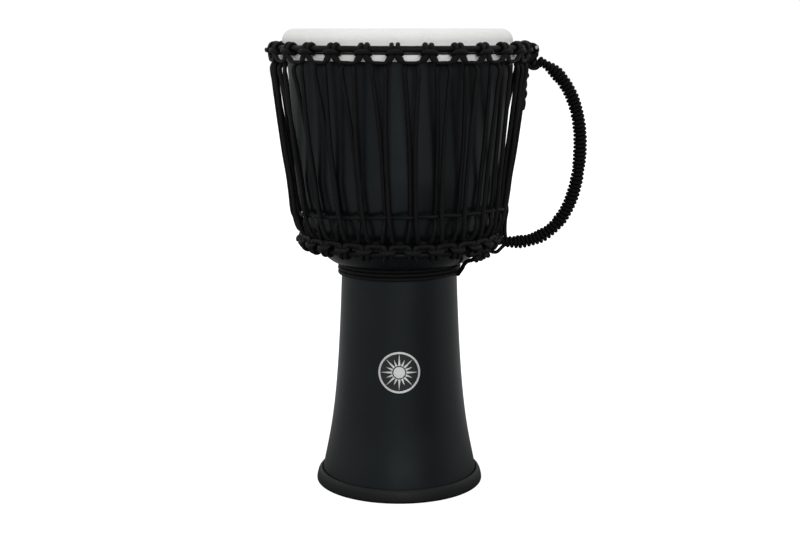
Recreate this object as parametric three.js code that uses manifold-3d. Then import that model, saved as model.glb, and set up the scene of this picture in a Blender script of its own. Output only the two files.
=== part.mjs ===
// A rope-tuned djembe: a one-piece goblet shell with a synthetic head, drawn down by a rope that runs
// between a hitched crown ring and a hitched bottom ring, with a rope-wrapped carrying handle.
// Units are millimetres. The drum stands on the floor, +Z is up, and the handle points along +X.
import * as THREE from "three";
import { mergeVertices } from "three/addons/utils/BufferGeometryUtils.js";
import Module from "manifold-3d";

const wasm = await Module();
wasm.setup();

// ---- Driving dimensions ----
const HEIGHT = 504; // top of the head above the floor
const CLEARANCE = 0.3; // gap between pieces that touch
const WALL = 5; // thickness of the shell

// Head
const FILM = 0.8; // head film
const HEAD_RADIUS = 128; // outside of the film's collar
const SHOULDER = 13; // rounding of the film over the rim
const SKIRT_Z = 472; // lower edge of the film's collar
const HOOP_OUTER = 131.2;
const HOOP_Z = [471, 476.2];

// Rings and the ropes hitched round them
const RING_TUBE = 3.5; // radius of a ring's tube
const CRADLE_ROPE = 3; // a hitch is pulled flat, so its rope is thinner than the lacing's
const LACING_ROPE = 4.2;
const HITCHES = 27;
const PITCH = (2 * Math.PI) / HITCHES;
const FIRST_HITCH = THREE.MathUtils.degToRad(-1.46); // azimuth of the top hitch nearest the front
const CROWN = { radius: 135, z: 483.5, stretch: { radius: 137, z: 468 }, up: 1, barEnd: 9, leg: 9.5 };
const BOTTOM = { radius: 104, z: 272.5, stretch: { radius: 107.5, z: 286 }, up: -1, barEnd: 7.6, leg: 5.5 };

// Shell outline, radius and height
const FOOT_R = 88.1;
const FOOT_Z = 4.3;
const WAIST_R = 63.6;
const WAIST_Z = 246;
const BELLY_R = 114.8;
const BELLY_Z = 352;
const SHOULDER_R = 121;
const SHOULDER_Z = 466;
const RIM_R = 126.4;

// Foot ring
const FOOT_RING_R = 93.4;
const FOOT_RING_TOP = 17.5;

// Waist
const WAIST_TURNS = 2.9;
const WAIST_PITCH = 4.8;

// Handle
const HANDLE_ROPE_R = 6.75; // outside of the wrap
const HANDLE_CORE_R = 2.6;
const HANDLE_TOP = new THREE.Vector3(157, 0, 466.5);
const HANDLE_OUT = new THREE.Vector3(197.9, 0, 378);
const HANDLE_BOTTOM = new THREE.Vector3(126, 0, 270.9);
const PIVOT_TOP = new THREE.Vector3(150.5, 0, 469);
const TIE_ROPE = 3;

// Badge
const BADGE_R = 22.4;
const BADGE_Z = 139.7;
const BADGE_THICK = 1;

const ROUND = 40; // sides of the thin round parts
const SHELL_SIDES = 36;

// ---- Materials ----
const material = (color, roughness, metalness = 0) =>
  new THREE.MeshStandardMaterial({ color, roughness, metalness });
const FINISH = {
  shell: material(0x1b1d1e, 0.38),
  rubber: material(0x121313, 0.7),
  film: material(0xdcdcda, 0.55),
  hoop: material(0xe8e8e4, 0.45),
  ring: material(0x17181a, 0.6),
  rope: material(0x0d0d0d, 0.85),
  handle: material(0x0b0b0b, 0.9),
  plate: material(0xb9bcbf, 0.3, 0.9),
};

// ---- Helpers ----
const drum = new THREE.Group();

function add(name, geometry, finish) {
  const mesh = new THREE.Mesh(geometry, finish);
  mesh.name = name;
  drum.add(mesh);
  return mesh;
}

// A point at an azimuth that starts at the front (-Y) and turns towards +X.
const around = (azimuth, radius, z) =>
  new THREE.Vector3(radius * Math.sin(azimuth), -radius * Math.cos(azimuth), z);

// A solid of revolution about Z from a closed profile of (radius, height) points.
function turned(profile, sides = ROUND) {
  const closed = [...profile, profile[0]];
  if (THREE.ShapeUtils.area(profile) < 0) closed.reverse();
  return new THREE.LatheGeometry(closed, sides).rotateX(Math.PI / 2);
}

// A route through chosen points, with straight runs between them.
class Route extends THREE.Curve {
  constructor(knots) {
    super();
    this.knots = knots;
  }
  get steps() {
    return this.knots.length - 1;
  }
  getPointAt(u, target = new THREE.Vector3()) {
    const at = Math.min(u * this.steps, this.steps);
    const i = Math.min(Math.floor(at + 1e-6), this.steps - 1);
    return target.lerpVectors(this.knots[i], this.knots[i + 1], at - i);
  }
  getTangentAt(u, target = new THREE.Vector3()) {
    const i = Math.round(u * this.steps);
    const before = this.knots[Math.max(i - 1, 0)];
    const here = this.knots[i];
    const after = this.knots[Math.min(i + 1, this.steps)];
    const into = here.clone().sub(before).normalize();
    return target.copy(after).sub(here).normalize().add(into).normalize();
  }
}

function polygon(radius, sides) {
  const points = [];
  for (let i = 0; i < sides; i++) {
    const a = (2 * Math.PI * i) / sides;
    points.push(new THREE.Vector2(radius * Math.cos(a), radius * Math.sin(a)));
  }
  return points;
}

function rope(knots, diameter, sides = 4) {
  const path = new Route(knots);
  const section = new THREE.Shape(polygon(diameter / 2, sides));
  return new THREE.ExtrudeGeometry(section, { steps: path.steps, extrudePath: path });
}

function solid(geometry) {
  const bare = geometry.index ? geometry.toNonIndexed() : geometry.clone();
  bare.deleteAttribute("normal");
  bare.deleteAttribute("uv");
  const merged = mergeVertices(bare, 1e-4);
  return new wasm.Manifold(
    new wasm.Mesh({
      numProp: 3,
      vertProperties: merged.attributes.position.array,
      triVerts: new Uint32Array(merged.index.array),
    }),
  );
}

function geometryOf(manifold) {
  const mesh = manifold.getMesh();
  return new THREE.BufferGeometry()
    .setAttribute("position", new THREE.BufferAttribute(mesh.vertProperties, 3))
    .setIndex(new THREE.BufferAttribute(mesh.triVerts, 1));
}

// ---- Shell ----
// The outside from the foot up to just under the hoop: stem, waist, bowl and side.
function shellOutside(divisions = 6) {
  const path = new THREE.Path();
  path.moveTo(FOOT_R, FOOT_Z);
  path.bezierCurveTo(78.5, 58.1, 69.2, 70.1, WAIST_R, WAIST_Z);
  path.quadraticCurveTo(WAIST_R, WAIST_Z + 4.5, 74.5, WAIST_Z + 6.3);
  path.bezierCurveTo(87, 258.4, 111.5, 298, BELLY_R, BELLY_Z);
  path.quadraticCurveTo(115.8, 410, SHOULDER_R, SHOULDER_Z);
  return path.getPoints(divisions);
}

// The same outline moved out (or in, when negative) along its normal.
function offset(points, distance) {
  return points.map((p, i) => {
    const before = points[Math.max(i - 1, 0)];
    const after = points[Math.min(i + 1, points.length - 1)];
    const along = after.clone().sub(before).normalize();
    return new THREE.Vector2(p.x + along.y * distance, p.y - along.x * distance);
  });
}

function shellProfile() {
  const outside = shellOutside();
  const rim = new THREE.Path();
  rim.moveTo(RIM_R, SHOULDER_Z + 16);
  const round = SHOULDER - FILM;
  const top = HEIGHT - FILM - CLEARANCE;
  rim.lineTo(RIM_R, top - round);
  rim.absarc(RIM_R - round, top - round, round, 0, Math.PI / 2, false);
  rim.lineTo(RIM_R - round - 1.5, top - 1.5);
  rim.lineTo(RIM_R - round - 1.5, top - 10);
  const inside = offset(shellOutside(4), -WALL).reverse();
  inside[inside.length - 1].y = FOOT_Z;
  return [...outside, ...rim.getPoints(4), ...inside];
}

function footRingProfile() {
  const ring = new THREE.Path();
  ring.moveTo(80, 0);
  ring.lineTo(FOOT_RING_R, 0);
  ring.lineTo(91.7, 10);
  ring.quadraticCurveTo(90.6, FOOT_RING_TOP, 87.6, FOOT_RING_TOP);
  ring.lineTo(86.5, FOOT_RING_TOP - 1.5);
  ring.lineTo(FOOT_R + CLEARANCE + 0.2, FOOT_Z - CLEARANCE);
  ring.lineTo(80, FOOT_Z - CLEARANCE);
  return ring.getPoints(4);
}

add("shell", turned(shellProfile(), SHELL_SIDES), FINISH.shell);
add("foot_ring", turned(footRingProfile(), SHELL_SIDES), FINISH.rubber);

// ---- Head ----
function filmProfile() {
  const film = new THREE.Path();
  const inner = HEAD_RADIUS - FILM;
  const bend = SHOULDER - FILM;
  film.moveTo(0, HEIGHT - FILM);
  film.lineTo(inner - bend, HEIGHT - FILM);
  film.absarc(inner - bend, HEIGHT - SHOULDER, bend, Math.PI / 2, 0, true);
  film.lineTo(inner, SKIRT_Z);
  film.lineTo(HEAD_RADIUS, SKIRT_Z);
  film.lineTo(HEAD_RADIUS, HEIGHT - SHOULDER);
  film.absarc(HEAD_RADIUS - SHOULDER, HEIGHT - SHOULDER, SHOULDER, 0, Math.PI / 2, false);
  film.lineTo(0, HEIGHT);
  return film.getPoints(3);
}

function headFilm() {
  const profile = filmProfile();
  if (THREE.ShapeUtils.area(profile) < 0) profile.reverse();
  return new THREE.LatheGeometry(profile, ROUND).rotateX(Math.PI / 2);
}

function band(inner, outer, bottom, top) {
  return [
    new THREE.Vector2(inner, bottom),
    new THREE.Vector2(outer, bottom),
    new THREE.Vector2(outer, top),
    new THREE.Vector2(inner, top),
  ];
}

const ringProfile = (ring) =>
  polygon(RING_TUBE, 6).map((p) => new THREE.Vector2(ring.radius + p.x, ring.z + p.y));

const hoopInner = HEAD_RADIUS + CLEARANCE;
add("drum_head", headFilm(), FINISH.film);
add("flesh_hoop", turned(band(hoopInner, HOOP_OUTER, ...HOOP_Z)), FINISH.hoop);
add("crown_ring", turned(ringProfile(CROWN), 2 * HITCHES), FINISH.ring);
add("bottom_ring", turned(ringProfile(BOTTOM), 2 * HITCHES), FINISH.ring);

// ---- Cradles: a cow hitch at every pitch, with a short level stretch between neighbours ----
// A hitch's knots as [sideways, outwards, upwards] from the ring's centre line, one half of it:
// up behind the bar, over the ring, down behind it, out under it to the bar's end, and across.
function halfHitch(ring) {
  const legDrop = ring.up * (ring.stretch.z - ring.z);
  const knots = [[ring.leg, ring.stretch.radius - ring.radius, legDrop]];
  const reach = RING_TUBE + CRADLE_ROPE / 2 + 0.35;
  const step = THREE.MathUtils.degToRad(55);
  const vertex = reach / Math.cos(step / 2);
  for (let i = 0; i < 6; i++) {
    const a = THREE.MathUtils.degToRad(-10) + i * step;
    const sideways = i < 4 ? 2.4 : 2.4 + 1.4 * (i - 3);
    knots.push([sideways, vertex * Math.cos(a), vertex * Math.sin(a)]);
  }
  knots.push([ring.barEnd, 5.5, -3]);
  knots.push([3.2, 9.2, -2.2]);
  return knots;
}

function cradle(ring, firstAzimuth) {
  const half = halfHitch(ring);
  const left = half.map(([s, n, v]) => [-s, n, v]);
  const right = [...half].reverse();
  const knots = [];
  for (let k = 0; k < HITCHES; k++) {
    const azimuth = firstAzimuth + k * PITCH;
    const outward = around(azimuth, 1, 0);
    const sideways = around(azimuth + Math.PI / 2, 1, 0);
    for (const [s, n, v] of [...left, ...right]) {
      const point = around(azimuth, ring.radius, ring.z + ring.up * v);
      knots.push(point.addScaledVector(outward, n).addScaledVector(sideways, s));
    }
  }
  return knots;
}

// The cradle ropes start and end at the back, so their ends meet in one stretch there.
const BACK = Math.round(HITCHES / 2);
const topFirst = FIRST_HITCH - BACK * PITCH;
const bottomFirst = topFirst + PITCH / 2;
add("top_cradle_rope", rope(cradle(CROWN, topFirst), CRADLE_ROPE, 3), FINISH.rope);
add("bottom_cradle_rope", rope(cradle(BOTTOM, bottomFirst), CRADLE_ROPE, 3), FINISH.rope);

// ---- Lacing: one rope, over each top stretch and under each bottom stretch in turn ----
// The rope passes a stretch from its inner side to its outer side, or back.
function turnRound(azimuth, ring, outFirst) {
  const reach = (CRADLE_ROPE + LACING_ROPE) / 2 + 0.25;
  const vertex = reach / Math.cos(Math.PI / 8);
  const knots = [];
  const spread = [-5.5, -2, 0, 2, 5.5];
  spread.forEach((sideways, i) => {
    const a = outFirst ? (i * Math.PI) / 4 : Math.PI - (i * Math.PI) / 4;
    const radius = ring.stretch.radius + vertex * Math.cos(a);
    const z = ring.stretch.z + ring.up * vertex * Math.sin(a);
    knots.push(around(azimuth + sideways / ring.stretch.radius, radius, z));
  });
  return knots;
}

// The height of the woven row, which is a little lower at the back and the left.
const weaveZ = (azimuth) => 308.35 + 5.15 * Math.cos(azimuth) + 2.65 * Math.sin(azimuth);
const PINCH = { side: 2.6, inner: 112.2, outer: 119.6 };
const BELLY_PASS = { side: 3.2, inner: BELLY_R + 3.2, outer: 124.5 };

// One pair of strands hangs from each top stretch. The left one runs inside, the right one outside.
const pinched = (azimuth, side, radius, z) => around(azimuth + side / radius, radius, z);
const leftStrand = (azimuth) => [
  pinched(azimuth, -PINCH.side, PINCH.inner, weaveZ(azimuth)),
  pinched(azimuth, -BELLY_PASS.side, BELLY_PASS.inner, BELLY_Z),
];
const rightStrand = (azimuth) => [
  pinched(azimuth, BELLY_PASS.side, BELLY_PASS.outer, BELLY_Z),
  pinched(azimuth, PINCH.side, PINCH.outer, weaveZ(azimuth)),
];

function lacingKnots() {
  const knots = [];
  for (let k = 0; k < HITCHES; k++) {
    const pair = bottomFirst + k * PITCH;
    knots.push(...turnRound(pair - PITCH / 2, BOTTOM, true));
    knots.push(...leftStrand(pair));
    knots.push(...turnRound(pair, CROWN, false));
    knots.push(...rightStrand(pair));
  }
  return knots;
}

// The woven rope passes in front of each left strand and behind each right one.
function weaveKnots() {
  const knots = [];
  const front = PINCH.inner + LACING_ROPE + 1.1;
  const behind = PINCH.outer - LACING_ROPE - 1.1;
  for (let k = 0; k < HITCHES; k++) {
    const pair = bottomFirst + k * PITCH;
    const z = weaveZ(pair);
    knots.push(around(pair - 4.4 / front, front, z));
    knots.push(around(pair + 4.4 / behind, behind, z));
  }
  return knots;
}

add("lacing_rope", rope(lacingKnots(), LACING_ROPE), FINISH.rope);
add("weave_rope", rope(weaveKnots(), LACING_ROPE), FINISH.rope);

// ---- Waist winding: the rope's spare end comes down from the bottom ring and winds round the waist ----
function waistKnots() {
  const degrees = THREE.MathUtils.degToRad;
  const radius = WAIST_R + LACING_ROPE / 2 + 1.8;
  const knots = [
    around(degrees(56), 100.5, 262),
    around(degrees(61), 93, 254.5),
    around(degrees(70), 82, 248.5),
    around(degrees(83), 72.5, 245.6),
  ];
  const sides = 20;
  const start = degrees(100);
  for (let i = 0; i <= WAIST_TURNS * sides; i++) {
    const turn = i / sides;
    knots.push(around(start + turn * 2 * Math.PI, radius, 244.4 - turn * WAIST_PITCH));
  }
  return knots;
}

add("waist_winding", rope(waistKnots(), LACING_ROPE, 5), FINISH.rope);

// ---- Handle ----
function handlePath() {
  const path = new THREE.CurvePath();
  path.add(
    new THREE.CubicBezierCurve3(
      HANDLE_TOP,
      new THREE.Vector3(186, 0, 450),
      new THREE.Vector3(HANDLE_OUT.x, 0, 414),
      HANDLE_OUT,
    ),
  );
  path.add(
    new THREE.CubicBezierCurve3(
      HANDLE_OUT,
      new THREE.Vector3(HANDLE_OUT.x, 0, 322),
      new THREE.Vector3(180, 0, HANDLE_BOTTOM.z),
      HANDLE_BOTTOM,
    ),
  );
  return path;
}

function handleKnots(from, to, count) {
  const path = handlePath();
  const knots = [];
  for (let i = 0; i <= count; i++) {
    knots.push(path.getPointAt(from + ((to - from) * i) / count));
  }
  return knots;
}

function handleWrap() {
  const section = new THREE.Shape(polygon(HANDLE_ROPE_R, 8));
  section.holes.push(new THREE.Path(polygon(HANDLE_CORE_R + CLEARANCE + 0.2, 6)));
  const path = new Route(handleKnots(0, 1, 24));
  return new THREE.ExtrudeGeometry(section, { steps: path.steps, extrudePath: path });
}

add("handle_core", rope(handleKnots(0.004, 0.996, 24), 2 * HANDLE_CORE_R, 6), FINISH.rope);
add("handle_wrap", handleWrap(), FINISH.handle);

// ---- The handle's ties ----
// A loop round a ring, with both ends brought out to one point.
function tieLoop(ring, azimuth, out) {
  const reach = RING_TUBE + TIE_ROPE / 2 + 0.2;
  const count = 7;
  const step = (2 * Math.PI) / (count + 1);
  const vertex = reach / Math.cos(step / 2);
  const knots = [out.clone()];
  for (let i = 0; i < count; i++) {
    const a = step * (0.75 + i);
    const side = (i - (count - 1) / 2) * 0.25;
    const radius = ring.radius + vertex * Math.cos(a);
    knots.push(around(azimuth + side / radius, radius, ring.z + vertex * Math.sin(a)));
  }
  knots.push(out.clone().add(new THREE.Vector3(0, 0, -2)));
  return solid(rope(knots, TIE_ROPE, 5));
}

function knotAt(point, radius) {
  return solid(new THREE.IcosahedronGeometry(radius, 1).translate(...point));
}

const topTieAt = topFirst + (BACK + 6.5) * PITCH;
const bottomTieAt = topFirst + (BACK + 7) * PITCH;
const topTie = tieLoop(CROWN, topTieAt, PIVOT_TOP).add(knotAt(PIVOT_TOP, 5.4));
const bottomKnot = new THREE.Vector3(115.8, 0, HANDLE_BOTTOM.z - 2);
const bottomTie = tieLoop(BOTTOM, bottomTieAt, bottomKnot).add(knotAt(bottomKnot, 3.2));
add("handle_top_tie", geometryOf(topTie), FINISH.rope);
add("handle_bottom_tie", geometryOf(bottomTie), FINISH.rope);

// ---- Rope tail: the chained spare end that hangs beside the handle ----
function tailKnots() {
  const azimuth = bottomTieAt;
  const knots = [];
  const count = 8;
  for (let i = 0; i <= count; i++) {
    const t = i / count;
    const sway = (i % 2 ? 1 : -1) * 0.8;
    knots.push(around(azimuth + sway / 136, 137 - 1.5 * t, 461 - 41 * t));
  }
  return knots;
}

add("rope_tail", rope(tailKnots(), 6, 6), FINISH.rope);

// ---- Badge: a thin round plate that follows the stem ----
function badge() {
  const stem = shellOutside().filter((p) => p.y > 90 && p.y < 200);
  const inner = offset(stem, CLEARANCE + 0.1);
  const outer = offset(stem, CLEARANCE + 0.1 + BADGE_THICK).reverse();
  const sleeve = solid(turned([...inner, ...outer], SHELL_SIDES));
  const disc = new THREE.CylinderGeometry(BADGE_R, BADGE_R, 60, 40);
  disc.translate(0, -60, 0).translate(0, 0, BADGE_Z);
  return geometryOf(sleeve.intersect(solid(disc)));
}

add("badge", badge(), FINISH.plate);

// The origin is the middle of the whole drum's footprint, handle included, on the floor.
const box = new THREE.Box3().setFromObject(drum);
const middle = box.getCenter(new THREE.Vector3());
drum.position.set(-middle.x, -middle.y, 0);

const djembe = new THREE.Group();
djembe.add(drum);
export default djembe;
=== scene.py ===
import math

import bmesh
import bpy
import numpy as np
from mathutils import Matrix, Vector


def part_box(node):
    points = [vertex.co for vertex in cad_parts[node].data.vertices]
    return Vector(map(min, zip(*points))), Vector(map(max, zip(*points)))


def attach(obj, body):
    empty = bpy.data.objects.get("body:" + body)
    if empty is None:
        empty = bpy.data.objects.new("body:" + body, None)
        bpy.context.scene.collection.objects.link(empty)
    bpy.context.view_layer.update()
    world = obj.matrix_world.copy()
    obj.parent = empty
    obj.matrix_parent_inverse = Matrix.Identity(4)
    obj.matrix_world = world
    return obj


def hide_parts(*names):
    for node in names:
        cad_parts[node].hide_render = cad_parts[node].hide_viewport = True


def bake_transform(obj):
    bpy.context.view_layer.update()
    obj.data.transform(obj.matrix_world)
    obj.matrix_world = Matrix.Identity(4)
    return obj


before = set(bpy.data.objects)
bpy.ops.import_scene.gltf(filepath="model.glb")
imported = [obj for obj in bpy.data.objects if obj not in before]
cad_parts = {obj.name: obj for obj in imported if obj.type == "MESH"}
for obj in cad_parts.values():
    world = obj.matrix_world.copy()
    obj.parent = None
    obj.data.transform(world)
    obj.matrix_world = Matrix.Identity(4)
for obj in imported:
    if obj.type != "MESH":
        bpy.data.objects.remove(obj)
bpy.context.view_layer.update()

MM = 0.001
RANDOM = np.random.default_rng(27)

# ---- sizes from the frame


def node_box(node):
    low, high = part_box(node)
    return np.array(low) / MM, np.array(high) / MM


foot_low, foot_high = node_box("foot_ring")
AXIS = (foot_low + foot_high) / 2 * [1, 1, 0]


def radius_and_height(node, tube=0.0):
    """Outer radius of a round node, less its tube, and the height of its middle."""
    low, high = node_box(node)
    return (high[1] - low[1]) / 2 - tube, (high[2] + low[2]) / 2


RING_TUBE = 3.5  # radius of a ring's bar with its sleeve
HEAD_TOP = node_box("drum_head")[1][2]
HEAD_RADIUS = radius_and_height("drum_head")[0]
HOOP_RADIUS = radius_and_height("flesh_hoop")[0]
HOOP_BOTTOM = node_box("flesh_hoop")[0][2]
FOOT_RING_RADIUS = radius_and_height("foot_ring")[0]
FOOT_RING_TOP = foot_high[2]
CROWN_RADIUS, crown_middle = radius_and_height("crown_ring", RING_TUBE)
CROWN_Z = crown_middle + 0.2  # the hitches hold the crown ring a little above its solid's middle
BOTTOM_RADIUS, BOTTOM_Z = radius_and_height("bottom_ring", RING_TUBE)

HITCHES = 27
PITCH = 2 * math.pi / HITCHES
FIRST_TOP = math.radians(-1.46)  # azimuth of the top hitch nearest the front
FIRST_BOTTOM = math.radians(-6.2)  # the bottom hitches lie a little past half a pitch round
TOP_SLIP = math.radians(1.05)  # how far the top hitches have slipped along their ring
STRAND = 4.6  # diameter of the lacing's rope

# Shell outline, radius and height
FOOT_R, FOOT_Z = 88.1, 4.3
WAIST_R, WAIST_Z = 63.6, 246.0
NECK_R, NECK_Z = 74.5, WAIST_Z + 6.3
BELLY_R, BELLY_Z = 114.8, 352.0
SHOULDER_R, SHOULDER_Z = 121.0, 466.0
RIM_R = 121.6
WALL = 5.0
FILM = 0.8
HEAD_ROUND = 13.0  # radius of the film's shoulder

ROUND_SIDES = 192  # sides of the shell, the foot ring, the head and the hoop
RING_SIDES = 216

BADGE_R, BADGE_Z = 22.4, 139.7

# ---- camera

LENS = 62.16
SENSOR = 36
CAMERA_BACK = 1512.4  # in front of the drum's axis
CAMERA_SIDE = 0.8
CAMERA_ABOVE = 0.5  # above the head
CAMERA_TILT = 9.796  # degrees below level


def make_camera():
    camera = bpy.data.objects.new("camera", bpy.data.cameras.new("camera"))
    bpy.context.scene.collection.objects.link(camera)
    camera.data.lens = LENS
    camera.data.sensor_width = SENSOR
    place = np.array([CAMERA_SIDE, -CAMERA_BACK, HEAD_TOP + CAMERA_ABOVE]) + AXIS
    camera.location = place * MM
    camera.rotation_euler = (math.radians(90 - CAMERA_TILT), 0, 0)
    bpy.context.scene.camera = camera


make_camera()

# ---- node helpers


def new_material(name):
    """A new material, its node tree, its Principled shader and the object's own coordinates."""
    material = bpy.data.materials.new(name)
    material.use_nodes = True
    tree = material.node_tree
    return material, tree, tree.nodes["Principled BSDF"], node(tree, "TexCoord").outputs["Object"]


def node(tree, kind, inputs=None, **settings):
    """A shader node, with each input linked to a socket or set to a value."""
    made = tree.nodes.new("ShaderNode" + kind)
    for key, value in settings.items():
        setattr(made, key, value)
    for key, value in (inputs or {}).items():
        if isinstance(value, bpy.types.NodeSocket):
            tree.links.new(value, made.inputs[key])
        else:
            made.inputs[key].default_value = value
    return made


def maths(tree, operation, a, b=0.0):
    return node(tree, "Math", {0: a, 1: b}, operation=operation).outputs[0]


def noise(tree, vector, scale, detail=4.0, rough=0.55):
    inputs = {"Vector": vector, "Scale": scale, "Detail": detail, "Roughness": rough}
    return node(tree, "TexNoise", inputs).outputs["Fac"]


def spread(tree, value, low, high, to_low, to_high):
    """Maps low..high to to_low..to_high, and clamps."""
    inputs = {"Value": value, "From Min": low, "From Max": high, "To Min": to_low, "To Max": to_high}
    return node(tree, "MapRange", inputs).outputs["Result"]


def tint(tree, value, dark, light):
    """A colour that goes from the first to the second as the value goes from 0 to 1."""
    ramp = node(tree, "ValToRGB", {"Fac": value})
    ramp.color_ramp.elements[0].color = (*dark, 1)
    ramp.color_ramp.elements[1].color = (*light, 1)
    return ramp.outputs["Color"]


def cloudy(tree, value, low, high):
    """A roughness from low to high, after a noise's middle range."""
    return spread(tree, value, 0.3, 0.7, low, high)


def dress(tree, shader, colour, rough, height, bump, specular=0.5):
    """Gives the shader a colour, a roughness, a relief of (distance, strength) and a specular level."""
    tree.links.new(colour, shader.inputs["Base Color"])
    tree.links.new(rough, shader.inputs["Roughness"])
    relief = node(tree, "Bump", {"Height": height, "Distance": bump[0], "Strength": bump[1]})
    tree.links.new(relief.outputs["Normal"], shader.inputs["Normal"])
    shader.inputs["Specular IOR Level"].default_value = specular


# ---- materials


def shell_material():
    material, tree, shader, place = new_material("shell_black")
    cloud = noise(tree, place, 14.0, 3.0)
    grain = noise(tree, place, 900.0, 2.0)
    scuff = noise(tree, place, 90.0, 6.0, 0.7)
    colour = tint(tree, cloud, (0.0030, 0.0038, 0.0044), (0.0046, 0.0057, 0.0065))
    scuffed = spread(tree, scuff, 0.45, 0.75, -0.01, 0.02)
    rough = maths(tree, "ADD", cloudy(tree, cloud, 0.27, 0.35), scuffed)
    height = maths(tree, "ADD", maths(tree, "MULTIPLY", cloud, 0.9), maths(tree, "MULTIPLY", grain, 0.1))
    dress(tree, shader, colour, rough, height, (0.0005, 0.25), 0.3)
    shader.inputs["Specular Tint"].default_value = (0.86, 0.97, 1.0, 1)
    return material


def rubber_material():
    material, tree, shader, place = new_material("foot_rubber")
    cloud = noise(tree, place, 35.0, 4.0)
    grain = noise(tree, place, 1400.0, 3.0)
    colour = tint(tree, cloud, (0.0022, 0.0027, 0.0029), (0.0044, 0.0052, 0.0056))
    dress(tree, shader, colour, cloudy(tree, cloud, 0.52, 0.64), grain, (0.0002, 0.5), 0.22)
    return material


def film_material():
    """Milky film with faint long fibres and fine dots."""
    material, tree, shader, place = new_material("head_film")
    cloud = noise(tree, place, 22.0, 5.0, 0.6)
    flattened = node(tree, "Mapping", {"Vector": place, "Scale": (1, 1, 6)}).outputs["Vector"]
    fibre = noise(tree, flattened, 140.0, 5.0)
    speck = node(tree, "TexVoronoi", {"Vector": place, "Scale": 420.0}, feature="F1").outputs["Distance"]
    dots = spread(tree, speck, 0.05, 0.16, 0.0, 1.0)
    pale = tint(tree, cloud, (0.74, 0.74, 0.73), (0.84, 0.84, 0.83))
    mottled = node(tree, "Mix", {"Factor": spread(tree, fibre, 0.35, 0.7, 0.0, 0.35), 6: pale,
                                 7: (0.86, 0.86, 0.84, 1)}, data_type="RGBA", blend_type="MULTIPLY")
    specked = node(tree, "Mix", {"Factor": dots, 6: (0.46, 0.46, 0.45, 1), 7: mottled.outputs[2]},
                   data_type="RGBA")
    height = maths(tree, "ADD", fibre, maths(tree, "MULTIPLY", dots, 0.5))
    dress(tree, shader, specked.outputs[2], cloudy(tree, cloud, 0.62, 0.8), height, (0.0003, 0.4), 0.15)
    shader.inputs["Subsurface Weight"].default_value = 0.15
    shader.inputs["Subsurface Radius"].default_value = (0.004, 0.004, 0.0035)
    shader.inputs["Subsurface Scale"].default_value = 0.4
    return material


def hoop_material():
    material, tree, shader, place = new_material("hoop_white")
    cloud = noise(tree, place, 45.0, 4.0)
    fine = noise(tree, place, 700.0, 3.0)
    colour = tint(tree, cloud, (0.88, 0.88, 0.855), (0.97, 0.97, 0.95))
    dress(tree, shader, colour, cloudy(tree, cloud, 0.35, 0.5), fine, (0.0003, 0.4))
    return material


def sleeve_material():
    material, tree, shader, place = new_material("ring_sleeve")
    cloud = noise(tree, place, 60.0, 4.0)
    weave = noise(tree, place, 1500.0, 2.0)
    colour = tint(tree, cloud, (0.0018, 0.0017, 0.0020), (0.0040, 0.0037, 0.0041))
    dress(tree, shader, colour, cloudy(tree, cloud, 0.42, 0.6), weave, (0.0002, 0.6), 0.12)
    return material


def braid_height(tree, around_count, along):
    """The relief of a braid: two families of yarns that lie across each other at a slant."""
    uv = node(tree, "UVMap", uv_map="UVMap").outputs["UV"]
    part = node(tree, "SeparateXYZ", {"Vector": uv})
    turn = maths(tree, "MULTIPLY", part.outputs["X"], around_count * math.pi)
    run = maths(tree, "MULTIPLY", part.outputs["Y"], along * math.pi)
    one = maths(tree, "SINE", maths(tree, "ADD", turn, run))
    other = maths(tree, "SINE", maths(tree, "SUBTRACT", turn, run))
    cell = maths(tree, "ABSOLUTE", maths(tree, "MULTIPLY", one, other))
    return maths(tree, "POWER", cell, 0.5)


def rope_material(name, dark, light, rough, shine):
    """A dull braided rope, with painted shade in the grooves between its yarns."""
    material, tree, shader, place = new_material(name)
    braid = braid_height(tree, 8, 3.2)
    cloud = noise(tree, place, 70.0, 5.0, 0.6)
    fibre = noise(tree, place, 2600.0, 3.0, 0.7)
    # Painted shade: the colour darkens where the braid's relief is low, between the yarns, times a random
    # cloudy tone.
    groove_shade_and_tone = maths(tree, "MULTIPLY", spread(tree, braid, 0, 1, 0.25, 1), cloudy(tree, cloud, 0.5, 1.0))
    height = maths(tree, "ADD", braid, maths(tree, "MULTIPLY", fibre, 0.35))
    dress(tree, shader, tint(tree, groove_shade_and_tone, dark, light), cloudy(tree, fibre, rough - 0.08, rough + 0.08),
          height, (0.00022, 0.8), shine)
    shader.inputs["Specular Tint"].default_value = (0.93, 1.0, 0.97, 1)
    return material


def cut_material():
    material, tree, shader, place = new_material("rope_cut_end")
    yarn = node(tree, "TexVoronoi", {"Vector": place, "Scale": 1600.0}).outputs["Distance"]
    colour = tint(tree, yarn, (0.62, 0.60, 0.55), (0.22, 0.21, 0.19))
    dress(tree, shader, colour, spread(tree, yarn, 0, 1, 0.6, 0.9), yarn, (0.0004, 0.6))
    return material


def metal_material():
    material, tree, shader, place = new_material("badge_silver")
    stretched = node(tree, "Mapping", {"Vector": place, "Scale": (0.06, 1, 1)}).outputs["Vector"]
    brushed = noise(tree, stretched, 2200.0, 3.0)
    cloud = noise(tree, place, 80.0, 3.0)
    colour = tint(tree, cloud, (0.66, 0.67, 0.68), (0.80, 0.81, 0.82))
    dress(tree, shader, colour, cloudy(tree, brushed, 0.34, 0.5), brushed, (0.0001, 0.4))
    shader.inputs["Metallic"].default_value = 0.8
    return material


def enamel_material():
    material, tree, shader, place = new_material("badge_enamel")
    cloud = noise(tree, place, 150.0, 4.0)
    colour = tint(tree, cloud, (0.008, 0.008, 0.009), (0.016, 0.016, 0.017))
    dress(tree, shader, colour, cloudy(tree, cloud, 0.2, 0.34), cloud, (0.0002, 0.3))
    return material


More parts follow.
